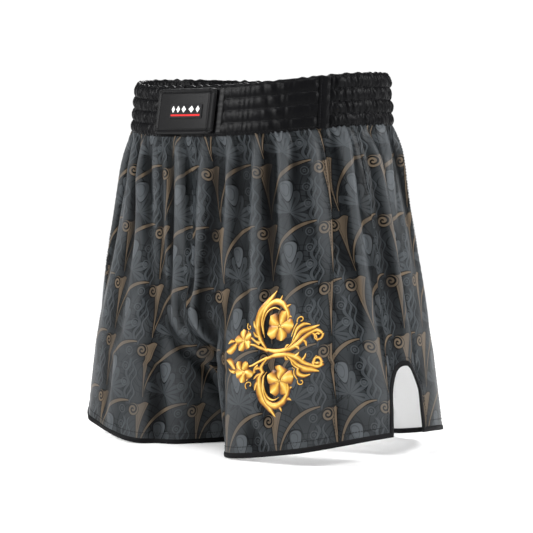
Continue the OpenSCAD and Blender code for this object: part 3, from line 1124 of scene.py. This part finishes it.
# millimetres inwards from the edge and outwards from the cloth
TAPE_PROFILE = [
    (5.0, 0.3), (4.6, 0.9), (2.8, 1.15), (0.6, 1.1), (-0.6, 0.6), (-0.9, -0.2),
    (-0.6, -1.0), (0.6, -1.6), (2.8, -1.65), (4.6, -1.4), (5.0, -0.8),
]


def edge_tape(side, name, path_u, path_v, in_u, in_v):
    """Folded tape over an edge of the cloth; the in_ path lies one tape width inside the edge."""
    edge, normal = cloth_at(side, path_u, path_v)
    inward = cloth_at(side, in_u, in_v)[0] - edge
    inward /= np.linalg.norm(inward, axis=-1, keepdims=True)
    across, up = (np.array(TAPE_PROFILE) / 1000).T[:, None, :, None]
    points = (edge[:, None] + inward[:, None] * across + normal[:, None] * up) * MIRROR[side]
    n, m = points.shape[:2]
    faces = [
        (i * m + j, (i + 1) * m + j, (i + 1) * m + (j + 1) % m, i * m + (j + 1) % m)
        for i in range(n - 1)
        for j in range(m)
    ]
    faces += [tuple(range(m)), tuple(range((n - 1) * m, n * m))[::-1]]
    obj = new_object(f"{side}_{name}", points.reshape(-1, 3), faces, (TAPE,))
    mesh_tape_map(obj, n, m, run_length(edge, 0))
    piece(fix_normals(obj), "binding_tape", f"{side}_{name}")


def fix_normals(obj):
    mesh = bmesh.new()
    mesh.from_mesh(obj.data)
    bmesh.ops.recalc_face_normals(mesh, faces=mesh.faces)
    mesh.to_mesh(obj.data)
    mesh.free()
    return obj


def bindings(side):
    ends = (("front_hem_binding", 0.0015, slit_u(-1)), ("back_hem_binding", slit_u(1), 0.9985))
    for name, start, end in ends:
        u = np.linspace(start, end, 260)
        edge_tape(side, name, u, np.zeros_like(u), u, row_at(u, BINDING_W))
    u, in_u = slit_u(SLIT_ARC), slit_u(SLIT_ARC, BINDING_W)
    in_v = row_at(in_u, slit_top(SLIT_ARC, BINDING_W))
    edge_tape(side, "slit_binding", u, row_at(u, slit_top(SLIT_ARC)), in_u, in_v)


def along_line(values, run, d):
    return np.array([np.interp(d, run, values[:, k]) for k in range(3)])


def stitch_mesh(name, lines, length=STITCH_LENGTH):
    """Rows of short raised stitches. Each line is (points, normals) along the seam."""
    ring = STITCH_SIDES
    points, faces = [], []
    for path, normals in lines:
        run = run_length(path, 0)
        count = max(2, int(run[-1] / (length * STITCH_PITCH)))
        for middle in (np.arange(count) + 0.5) * run[-1] / count:
            start = len(points)
            for share, size in STITCH_SHAPE:
                d = middle + share * length
                p, up = along_line(path, run, d), along_line(normals, run, d)
                up /= max(np.linalg.norm(up), 1e-9)
                ahead = along_line(path, run, d + 1e-4) - along_line(path, run, d - 1e-4)
                ahead /= max(np.linalg.norm(ahead), 1e-9)
                across = np.cross(ahead, up) * STITCH_RADIUS * size
                dip = -STITCH_RADIUS * 0.9 * (abs(share) * 2) ** 2
                for a in 2 * math.pi * np.arange(ring) / ring:
                    rise = dip + STITCH_RADIUS * size * math.sin(a)
                    points.append(p + up * rise + across * math.cos(a))
            for i in range(len(STITCH_SHAPE) - 1):
                for k in range(ring):
                    a, b = start + i * ring + k, start + i * ring + (k + 1) % ring
                    faces.append((a, b, b + ring, a + ring))
            last = start + (len(STITCH_SHAPE) - 1) * ring
            faces.append(range(start, start + ring)[::-1])
            faces.append(range(last, last + ring))
    return new_object(name, points, faces, (THREAD,))


def body_stitches(side):
    lines = []

    def line(u, v):
        points, normals = cloth_at(side, u, v, STITCH_LIFT)
        lines.append((points * MIRROR[side], normals * MIRROR[side]))

    for start, end in ((0.01, slit_u(-1, 0.012)), (slit_u(1, 0.012), 0.99)):
        u = np.linspace(start, end, 400)
        line(u, row_at(u, HEM_STITCH))
    for seam in (SIDE_FRONT_SEAM, 1 - SIDE_FRONT_SEAM):
        for away in (SEAM_STITCH_U, -SEAM_STITCH_U):
            line(seam + away, np.linspace(0.03, 0.985, 300))
    u = slit_u(SLIT_ARC, SLIT_STITCH)
    line(u, row_at(u, np.maximum(slit_top(SLIT_ARC, SLIT_STITCH), BINDING_W)))
    piece(stitch_mesh(f"{side}_leg_stitching", lines), "binding_tape")


# ---------------------------------------------------------------- gold ornament on the left front

ORNAMENT_AT = (0.1275, 0.1185)
ORNAMENT_SCALE = (0.80e-3, 0.92e-3)


def smooth_line(points, count):
    """A smooth curve through a few points."""
    p = np.array(points, float)
    grid = p[:, None, :]
    t = np.linspace(0, len(p) - 1, count)
    return catmull(grid.repeat(2, axis=1), t, np.zeros_like(t))


class Ornament:
    """Raised strips and petals, drawn in millimetres on the leg's front and laid on the cloth."""

    def __init__(self):
        self.points, self.faces, self.uv = [], [], []
        self.v = v = np.linspace(0.02, 0.75, 160)
        self.u = u = np.linspace(0.02, 0.45, 220)
        points, _ = cloth_at("left", *np.meshgrid(u, v))
        across = run_length(points, 1)
        middle_v = float(np.interp(ORNAMENT_AT[1], points[:, 90, 2], v))
        row = int(np.argmin(np.abs(v - middle_v)))
        front = u < 0.34
        front_u = u[front][np.argmin(np.abs(points[row, front, 0] - ORNAMENT_AT[0]))]
        origin = np.array([np.interp(front_u, u, across[i]) for i in range(len(v))])
        self.across = across - origin[:, None]
        self.z = points[:, int(np.argmin(np.abs(u - front_u))), 2]

    def place(self, xy):
        """Places (u, v) on the leg for points of the drawing."""
        x, y = np.asarray(xy).T * np.array(ORNAMENT_SCALE)[:, None]
        v = np.interp(y + ORNAMENT_AT[1], self.z, self.v)
        i = np.interp(v, self.v, np.arange(len(self.v)))
        low = np.floor(i).astype(int)
        part = i - low
        high = np.minimum(low + 1, len(self.v) - 1)
        u = [
            mix(np.interp(a, self.across[i], self.u), np.interp(a, self.across[j], self.u), k)
            for a, i, j, k in zip(x, low, high, part)
        ]
        return np.array(u), v

    def strip(self, line, widths, level, bulge=0.45):
        """A strip along a curve: widths in millimetres, from its start to its end."""
        line = np.asarray(line, float)
        n = len(line)
        along = np.gradient(line, axis=0)
        along /= np.maximum(np.linalg.norm(along, axis=1, keepdims=True), 1e-9)
        across = np.stack([-along[:, 1], along[:, 0]], axis=1)
        width = 1.3 * np.interp(np.linspace(0, 1, n), np.linspace(0, 1, len(widths)), widths)
        shares = np.array([-1, -0.72, -0.3, 0.3, 0.72, 1.0])
        start = sum(len(p) for p in self.points)
        xy = line[:, None, :] + across[:, None, :] * (width[:, None] / 2 * shares[None, :])[..., None]
        round_up = (1 - shares[None, :] ** 2) * np.minimum(1, width[:, None] / 3)
        height = 0.00035 + level + bulge * 1e-3 * round_up
        height = np.where(np.abs(shares)[None, :] > 0.99, 0.00005, height)
        u, v = self.place(xy.reshape(-1, 2))
        p, _ = cloth_at("left", u, v, height.reshape(-1))
        self.points.append(p)
        self.faces.extend(grid_faces(n, len(shares), start))
        mapped = np.broadcast_arrays(np.linspace(0, 1, n)[:, None], (shares[None, :] + 1) / 2)
        self.uv.append(np.stack(mapped, axis=-1).reshape(-1, 2))

    def leaf(self, base, tip, bend, width, level=0.0):
        """A pointed leaf from base to tip, bowed sideways by bend."""
        base, tip = np.array(base, float), np.array(tip, float)
        side = np.array([-(tip - base)[1], (tip - base)[0]]) / np.linalg.norm(tip - base)
        middle = (base + tip) / 2 + side * bend
        self.strip(smooth_line([base, middle, tip], 24), [0.6, width * 0.9, width, width * 0.7, 0.3], level)

    def flower(self, centre, across, up, turn):
        """Five petals and six stamens."""
        centre = np.array(centre)
        for k in range(5):
            a = turn + 2 * math.pi * k / 5
            d = np.array([math.cos(a) * across, math.sin(a) * up])
            side = np.array([-math.sin(a) * across, math.cos(a) * up])
            base, tip = centre + d * 0.12, centre + d
            line = smooth_line([base, mix(base, tip, 0.5) + side * 0.03, tip], 18)
            size = (across + up) / 2
            self.strip(line, [size * 0.14, size * 0.46, size * 0.70, size * 0.66, size * 0.12], 0.0003, 0.7)
        for k in range(6):
            a = turn + 0.4 + 2 * math.pi * k / 6
            d = np.array([math.cos(a) * across, math.sin(a) * up]) * 0.3
            stamen = smooth_line([centre, centre + d * 0.6, centre + d], 8)
            self.strip(stamen, [0.8, 0.9, 1.5], 0.0010)

    def curl(self, centre, radius, start, turns, width, hand):
        """A scroll that winds in towards its centre."""
        t = np.linspace(0, 1, 40)
        a = start + hand * 2 * math.pi * turns * t
        r = radius * (1 - 0.78 * t)
        line = np.array(centre) + np.stack([np.cos(a) * r, np.sin(a) * r * 0.85], axis=1)
        self.strip(line, [width, width * 0.8, width * 0.6, width * 1.1], 0.0002)

    def half(self, flip):
        """One half, which is the other's reflection in the level line between them."""

        def at(x, y):
            return (x, -y if flip else y)

        hand = -1 if flip else 1

        def stem(points, widths, level=0.0):
            self.strip(smooth_line([at(*p) for p in points], 60), widths, level)

        # left spray: a leaf and the small flower
        self.leaf(at(-54, 15), at(-77, 5), 3 * hand, 8)
        self.leaf(at(-58, 17), at(-72, 14), -2 * hand, 4, 0.0002)
        self.flower(at(-43, 18), 15, 13, 0.5 * hand)
        stem([(-34, 13), (-26, 12), (-16, 8), (-4, 4)], [1.2, 2.4, 3.0, 3.4])
        # tall leaf and the arch round the large flower
        stem([(-4, 4), (-16, 18), (-21, 34), (-17, 50), (-6, 62), (6, 74)], [1.5, 4.5, 7.0, 8.5, 7.0, 0.4])
        arch = [(-12, 24), (-15, 40), (-9, 55), (5, 61), (19, 56), (27, 44), (26, 36)]
        stem(arch, [1.4, 3.6, 5.4, 6.6, 6.4, 5.0, 0.8], 0.0004)
        stem([(-10, 20), (-13, 36), (-8, 49), (3, 54), (13, 51)], [0.8, 1.6, 2.4, 2.0, 0.4], 0.0006)
        fan = (((-19, 30), (-27, 41), 2), ((-17, 22), (-27, 28), 2), ((-14, 16), (-24, 17), 1.5))
        for base, tip, bend in fan:
            self.leaf(at(*base), at(*tip), bend * hand, 3.6)
        for base, tip in (((20, 55), (31, 56)), ((26, 46), (33, 41)), ((8, 61), (16, 68))):
            self.leaf(at(*base), at(*tip), -1.5 * hand, 3.4)
        self.flower(at(14, 32), 22, 18, 1.1 * hand)
        self.curl(at(-34, 34), 6.0, 2.2 * hand, 0.8, 1.8, hand)
        stem([(-37, 29), (-33, 23), (-26, 18), (-18, 12)], [1.4, 1.8, 2.2, 2.4])
        # long stem along the bottom that sweeps up to the right-hand scroll
        low_stem = [(-8, 6), (8, 2.5), (26, 3), (42, 8), (56, 17), (68, 21), (76, 17)]
        stem(low_stem, [2.6, 4.6, 5.2, 5.2, 4.6, 3.6, 3.0])
        self.curl(at(70, 15), 7.0, 0.3 * hand, 0.95, 3.0, -hand)
        stem([(28, 5), (38, 12), (48, 21), (60, 24), (72, 27)], [1.2, 4.0, 6.5, 5.0, 0.5], 0.0003)
        stem([(34, 10), (38, 18), (42, 26), (50, 30), (60, 29)], [1.0, 3.0, 4.6, 4.0, 0.4], 0.0005)
        self.curl(at(46, 36), 5.5, 3.6 * hand, 0.85, 1.8, -hand)
        stem([(41, 33), (37, 27), (33, 18)], [1.4, 2.0, 1.2])
        for base, tip in (((50, 12), (55, 4)), ((38, 6), (45, 1.5)), ((62, 19), (70, 8)), ((24, 4), (30, 9))):
            self.leaf(at(*base), at(*tip), 1.2 * hand, 3.2)

    def build(self):
        obj = new_object("gold_scroll_print", np.concatenate(self.points), self.faces, (GOLD,))
        set_map(obj, "tape", np.concatenate(self.uv))
        piece(obj, "printed_satin")


def ornament():
    drawing = Ornament()
    for flip in (False, True):
        drawing.half(flip)
    drawing.build()


# ---------------------------------------------------------------- waistband

BAND_SPLIT, STRIP_FROM, STRIP_TO, BACK = -4.2, 60.0, 66.0, 180.0
TAB_FROM, TAB_TO, FOLD_TO = -15.5, 9.5, 12.0
LOOP_FROM, LOOP_TO, PATCH_BLEND, PATCH_SEAT = -14.0, -5.0, 0.003, -0.0006
BAND_ROWS = 4
# how far the layers lie outside the waistband's own surface
OUTER_LIFT, INSIDE_LIFT, ELASTIC_LIFT, FACING_LIFT, TAB_FACE = 0.0012, -0.0042, -0.0022, -0.0052, 0.0061
SEAM_TAPE_LIFT = -0.0016
# shirring: the rows' puff, the gathers' heights, and how deep it all sits
PUFF, PINNED, SWELLING, CRINKLE, SHIRRING_SEAT = 0.0026, 0.0017, 0.0009, 0.00035, 0.0012
GATHER_PITCH, PITCH_WAVE, WANDER, WANDER_WAVE = 0.0078, 0.047, 0.0016, 0.031
TAB_LOW, TAB_HIGH = 0.03, 0.98


def band_height(phi):
    return BAND_H + BAND_BACK_RISE * (1 - np.cos(phi)) / 2


def band_at(degrees, h, lift=0.0):
    """Points of the smooth waistband: angle round the waist, share of its height, and lift outwards."""
    phi = np.radians(degrees)
    h = np.asarray(h, float)
    return np.stack(
        [
            (WAIST_A - h / 1000 + lift) * round_out(np.sin(phi)),
            -(WAIST_B - BAND_LEAN * h + lift) * round_out(np.cos(phi)),
            seam_z(phi) + h * band_height(phi),
        ],
        axis=-1,
    )


def even_angles(start, end, step):
    """Angles that are evenly spaced over the waistband's surface."""
    fine = np.linspace(start, end, 1200)
    run = run_length(band_at(fine, 0.5), 0)
    count = max(4, int(run[-1] / step))
    return np.interp(np.linspace(0, run[-1], count + 1), run, fine)


WAIST_TABLE = np.linspace(-30, 360, 3901)
WAIST_RUN = run_length(band_at(WAIST_TABLE, 0.5), 0)


def along_waist(degrees):
    return np.interp(degrees, WAIST_TABLE, WAIST_RUN)


def puffed_rows(h, power):
    """Row number, place within the row and the row's puff, at a share of the waistband's height."""
    row = np.floor(np.clip(h * BAND_ROWS, 0, BAND_ROWS - 1e-6))
    in_row = h * BAND_ROWS - row
    return row, in_row, np.sin(np.pi * np.clip(in_row, 0, 1)) ** power


def shirring(s, h, strength, seed):
    """Height of gathered cloth over four puffed rows."""
    row, in_row, puff = puffed_rows(h, 0.55)
    # the gathers wander sideways from row to row
    p = s + WANDER * strength * np.sin(2 * np.pi * s / WANDER_WAVE + row * 2.1 + seed) * puff
    # one set of gathers is pinned at the stitch lines and another swells in each row
    uneven = 0.35 * np.sin(2 * np.pi * p / PITCH_WAVE + seed)
    pinned = np.abs(np.sin(np.pi * (p / GATHER_PITCH + uneven))) ** 0.6
    swell = ripples(seed + 5, p + row * 0.17, 0.008, 0.021, 6)
    crinkle = ripples(seed + 9, p + row * 0.4 + 0.004 * in_row, 0.003, 0.006, 5)
    gathers = PINNED * (pinned - 0.6) * (1 - 0.45 * puff) + SWELLING * swell * puff + CRINKLE * crinkle
    return PUFF * puff * (0.75 + 0.25 * strength) + strength * gathers - SHIRRING_SEAT


def right_shirring(s, h):
    """Shirring that is sewn down flat where the loop patch lies on it, under the tab."""
    under_patch = smooth((s - along_waist(360 + LOOP_FROM)) / PATCH_BLEND + 1)
    return mix(shirring(s, h, 0.75, 2), PATCH_SEAT, under_patch)


def flat_quilting(s, h):
    """Height of the flat rows: a soft puff between stitch lines and slight slanting wrinkles."""
    _, _, puff = puffed_rows(h, 0.45)
    wrinkle = 0.00045 * ripples(3, s + 0.35 * h * BAND_H, 0.009, 0.024, 6)
    wrinkle += 0.00012 * ripples(4, s, 0.004, 0.007, 4)
    return (0.0017 + wrinkle) * puff - 0.0006


def band_row(angles, h, lift):
    return band_at(angles, np.full_like(angles, h), lift)


def gathered(name, grid):
    """Black satin on a grid."""
    obj = grid_object(name, grid, (BLACK_SATIN,))
    return piece(obj, "black_satin", name)


def band_piece(name, start, end, height_at):
    """Outer cloth of the waistband: up the outside, over the rim and a little way down the inside."""
    angles = even_angles(start, end, 0.0009)
    s = along_waist(angles)
    ends = smooth(np.minimum(s - s[0], s[-1] - s) / 0.004)
    grid = []
    for h in np.linspace(-0.02, 1.0, 74):
        lift = OUTER_LIFT + height_at(s, np.clip(h, 0.001, 0.999))
        grid.append(band_row(angles, h, lift * (0.55 + 0.45 * ends)))
    rim, inner = grid[-1], band_row(angles, 1.0, INSIDE_LIFT)
    wave = ripples(3, s, 0.009, 0.02) * 0.0006
    for a in np.linspace(0, np.pi, 9)[1:]:
        point = (rim + inner) / 2 + (rim - inner) / 2 * np.cos(a)
        point[:, 2] += np.sin(a) * (0.0022 + wave)
        grid.append(point)
    for h in np.linspace(0.995, 0.86, 8)[1:]:
        grid.append(band_row(angles, h, INSIDE_LIFT + 0.0002 * np.sin(s / 0.0015)))
    return fix_normals(gathered(name, np.array(grid)))


def inner_facing():
    angles = even_angles(BAND_SPLIT + 0.4, 360 + BAND_SPLIT - 0.4, 0.0012)
    s = along_waist(angles)
    grid = []
    for h in np.linspace(-0.01, 0.985, 60):
        height = shirring(s, np.clip(h, 0.001, 0.999), 0.9, 4)
        grid.append(band_row(angles, h, FACING_LIFT - 0.75 * height))
    gathered("waistband_inner_facing", np.array(grid))


def elastic_row(number):
    angles = even_angles(STRIP_TO + 3, 360 + TAB_FROM - 3, 0.0015)
    shares = np.linspace(number - 0.88, number - 0.12, 14) / BAND_ROWS
    grid = np.array([band_row(angles, h, ELASTIC_LIFT) for h in shares])
    name = f"elastic_row_{number}"
    obj = grid_object(name, grid, (ELASTIC,))
    mesh_tape_map(obj, len(shares), len(angles), shares)
    thicken(obj, 0.0008, 0, 0)
    piece(obj, "elastic", name)


def rounded_plate(name, start, end, low, high, under, over, material, dress, across, up, corner, edge):
    """A soft plate on the waistband, its edges rounded over the length edge and its corners drawn in.

    start and end are angles, low and high shares of the waistband's height, and under and over lifts.
    dress(x, y) adds height at shares of its sides, on a mesh of across by up points.
    """

    def spaced(count):
        t = np.linspace(0, 1, count)
        return (1 - np.cos(np.pi * t)) / 2 * 0.35 + t * 0.65

    x, y = np.meshgrid(spaced(across), spaced(up))
    run = along_waist(end) - along_waist(start)
    tall = (high - low) * BAND_H
    from_edge = np.minimum(np.minimum(x, 1 - x) * run, np.minimum(y, 1 - y) * tall)
    roll = np.sqrt(np.clip(1 - (1 - np.clip(from_edge / edge, 0, 1)) ** 2, 0, 1))
    cx, cy = 2 * x - 1, 2 * y - 1
    pull = corner * (np.abs(cx) ** 8) * (np.abs(cy) ** 8)
    degrees = mix(start, end, 0.5) + (end - start) / 2 * cx * (1 - pull * 0.4)
    h = (low + high) / 2 + (high - low) / 2 * cy * (1 - pull * 0.35)
    middle = (under + over) / 2
    front = band_at(degrees, h, middle + (over - middle) * roll + dress(x, y) * roll)
    back = band_at(degrees, h, middle + (under - middle) * roll)
    count = across * up
    faces = [*grid_faces(up, across), *grid_faces(up, across, count, flip=True)]
    rim = [*range(across), *(i * across + across - 1 for i in range(1, up))]
    rim += [(up - 1) * across + j for j in range(across - 2, -1, -1)]
    rim += [i * across for i in range(up - 2, 0, -1)]
    for a, b in zip(rim, rim[1:] + rim[:1]):
        faces.append((a, b, b + count, a + count))
    obj = new_object(name, np.concatenate([front.reshape(-1, 3), back.reshape(-1, 3)]), faces, (material,))
    fix_normals(obj)
    uv = np.stack([x, y], axis=-1)
    return set_map(obj, "tape", np.stack([uv, uv]))


def ridge(t, at, width):
    return np.exp(-(((t - at) / width) ** 2))


def tab_dress(x, y):
    """Rolled upper and lower edges, a stitched groove inside them and a ridge at the sewn end."""
    rolls = 0.0011 * (ridge(y, 0.035, 0.035) + ridge(y, 0.965, 0.035))
    grooves = 0.0007 * (ridge(y, 0.09, 0.018) + ridge(y, 0.91, 0.018))
    sewn_end = 0.0012 * ridge(x, 0.955, 0.03) - 0.0007 * ridge(x, 0.89, 0.018)
    free_end = 0.0006 * ridge(x, 0.03, 0.025) - 0.0005 * ridge(x, 0.07, 0.012)
    padding = 0.0008 * np.sin(np.pi * x) * np.sin(np.pi * y)
    return rolls - grooves + sewn_end + free_end + padding


def fibre_dress(x, y):
    return 0.0002 * np.random.RandomState(2).rand(*x.shape)


def plain_dress(x, y):
    return 0 * x


def fold_dress(x, y):
    return 0.0003 * np.sin(np.pi * x) + 0.0001 * ripples(4, y * 0.05, 0.004, 0.009)


# name, material slot and body, then all that rounded_plate takes after the name
PLATES = [
    ("closure_tab", "tab_satin", "tab", TAB_FROM, TAB_TO, TAB_LOW, TAB_HIGH, 0.0036, TAB_FACE,
     TAB_SATIN, tab_dress, 110, 90, 0.10, 0.0016),
    ("tab_badge", "woven_label", "tab", -7.5, 4.5, 0.36, 0.66, 0.0064, 0.0077,
     LABEL, plain_dress, 40, 24, 0.02, 0.0005),
    ("tab_hook_patch", "hook_loop", "tab", -13.5, -5.5, 0.12, 0.88, 0.0026, 0.0038,
     HOOKS, plain_dress, 40, 60, 0.02, 0.0004),
    ("tab_loop_patch", "hook_loop", "garment", LOOP_FROM, LOOP_TO, 0.12, 0.88, 0.0012, 0.0022,
     LOOPS, fibre_dress, 60, 90, 0.02, 0.0006),
    ("tab_hinge_fold", "tab_satin", "garment", TAB_TO + 0.3, FOLD_TO + 0.6, TAB_LOW, TAB_HIGH,
     0.0008, 0.0026, TAB_SATIN, fold_dress, 24, 70, 0.02, 0.0022),
]


def closure():
    """The tab with its label and hook patch, and the loop patch and sewn fold left on the waistband."""
    for name, slot, body, *plate in PLATES:
        obj = piece(rounded_plate(name, *plate), slot, name, body=body)
        name == "closure_tab"


def band_line(angles, h, lift):
    """A line on the waistband and its outward normals, for stitching."""
    angles, h = (np.array(a, dtype=float) for a in np.broadcast_arrays(angles, h))
    points = band_at(angles, h, lift)
    normals = band_at(angles, h, lift + 0.001) - points
    return points, normals / np.linalg.norm(normals, axis=1, keepdims=True)


def band_stitches():
    around = even_angles(BAND_SPLIT + 1, 360 + BAND_SPLIT - 1, 0.001)
    lines = [band_line(around, k / BAND_ROWS, 0.0010) for k in (1, 2, 3)]
    lines.append(band_line(around, 0.035, 0.0022))
    for angle in (STRIP_FROM + 0.7, STRIP_TO - 0.7):
        lines.append(band_line(angle, np.linspace(0.02, 0.98, 80), 0.0044))
    piece(stitch_mesh("waistband_stitching", lines), "black_satin")


def tab_stitches():
    wide = np.linspace(TAB_FROM + 1.8, TAB_TO - 2.6, 80)
    tall = np.linspace(TAB_LOW + 0.085, TAB_HIGH - 0.085, 60)
    lines = [band_line(wide, h, TAB_FACE) for h in tall[[0, -1]]]
    lines += [band_line(angle, tall, TAB_FACE) for angle in wide[[0, -1]]]
    piece(stitch_mesh("tab_stitching", lines, 0.0028), "tab_satin", body="tab")


def seam_tape():
    parts = []
    v = np.linspace(1.0, 0.965, 6)
    for side, mirror in MIRROR.items():
        points, _ = cloth_at(side, even_row(side, v, 0.0, 1.0, 260), v[:, None], SEAM_TAPE_LIFT)
        parts.append(points * mirror)
    rows, cols = parts[0].shape[:2]
    faces = [*grid_faces(rows, cols), *grid_faces(rows, cols, rows * cols, flip=True)]
    obj = new_object("waist_seam_tape", np.concatenate(parts).reshape(-1, 3), faces, (TAPE,))
    mesh_tape_map(obj, 2 * rows, cols, np.linspace(0, 0.02, 2 * rows))
    thicken(obj, 0.0006)
    piece(obj, "binding_tape", "waist_seam_tape")


# ---------------------------------------------------------------- put it together

WAISTBAND = [
    band_piece("waistband_front_panel", BAND_SPLIT + 0.3, STRIP_FROM, flat_quilting),
    band_piece("waistband_left_shirring", STRIP_TO - 0.5, BACK, lambda s, h: shirring(s, h, 1.0, 1)),
    band_piece("waistband_right_shirring", BACK, 360 + BAND_SPLIT - 0.3, right_shirring),
]
band_piece(
    "waistband_joining_strip",
    STRIP_FROM - 0.2,
    STRIP_TO + 0.2,
    lambda s, h: 0.0021 + 0.0002 * ripples(6, h * 0.05, 0.01, 0.02),
)
for side in MIRROR:
    bindings(side)
    body_stitches(side)
    front_and_back(side)
    side_panel(side)
    gusset(side)
ornament()
inner_facing()
for number in range(1, BAND_ROWS + 1):
    elastic_row(number)
seam_tape()
closure()
band_stitches()
tab_stitches()
